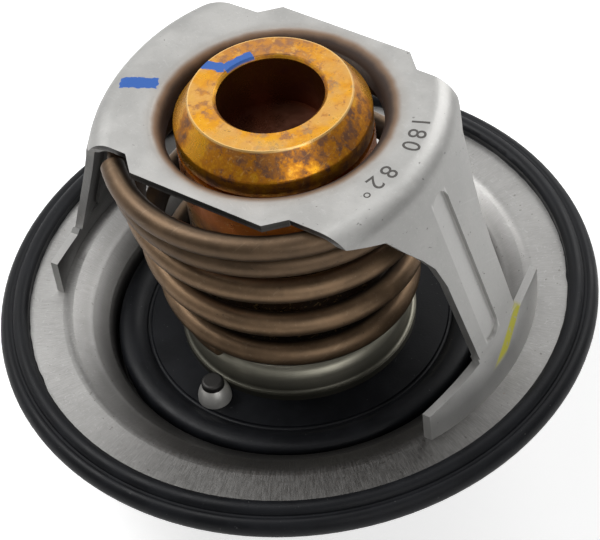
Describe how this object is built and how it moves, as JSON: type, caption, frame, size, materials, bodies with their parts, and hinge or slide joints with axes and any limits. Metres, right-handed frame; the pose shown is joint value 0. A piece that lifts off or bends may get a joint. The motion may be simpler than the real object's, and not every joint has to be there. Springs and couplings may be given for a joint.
{
  "type": "engine thermostat",
  "caption": "Engine coolant thermostat: gasketed steel flange, two-legged stamped frame, conical spring, brass wax element and rubber-faced valve disc.",
  "frame": {"origin": "on the valve's axis, in the middle plane of the rim gasket", "axes": "+Z along the valve's axis towards the engine side (spring and element), X through the frame's two legs, Y through the bridge's two feet"},
  "size_m": [0.067, 0.067, 0.0513],
  "materials": {
    "steel_plate": "turned and stamped, satin",
    "steel_frame": "stamped, matte silver",
    "steel_cup": "satin, slightly tarnished",
    "spring_wire": "bronze-brown, semi-gloss",
    "brass": "turned, tarnished in patches",
    "rubber_black": "moulded, matte",
    "zinc_grey": "pressed, satin",
    "pin_steel": "plain ground",
    "wax": "copper-filled wax",
    "plastic_white": "plain"
  },
  "bodies": {
    "housing": {"flange_plate": "steel_plate", "flange_gasket": "rubber_black", "bridge": "steel_plate", "frame": "steel_frame", "piston": "pin_steel", "backing_washer": "plastic_white", "main_spring": "spring_wire"},
    "valve": {"element_body": "brass", "guide": "brass", "wax_charge": "wax", "diaphragm": "rubber_black", "rubber_plug": "rubber_black", "valve_disc": "steel_plate", "valve_seal": "rubber_black", "spring_seat": "steel_cup", "retaining_ring": "pin_steel"},
    "jiggle": {"jiggle_pin": "pin_steel", "jiggle_weight": "zinc_grey"}
  },
  "joints": [
    {"name": "valve_lift", "type": "slide", "parent": "housing", "child": "valve", "axis": [0, 0, 1], "range_m": [0, 0.009], "stiffness_N_per_m": 9000, "springref_m": -0.009, "deforming": ["main_spring"]},
    {"name": "jiggle_lift", "type": "slide", "parent": "valve", "child": "jiggle", "axis": [0, 0, 1], "range_m": [0, 0.001]}
  ]
}
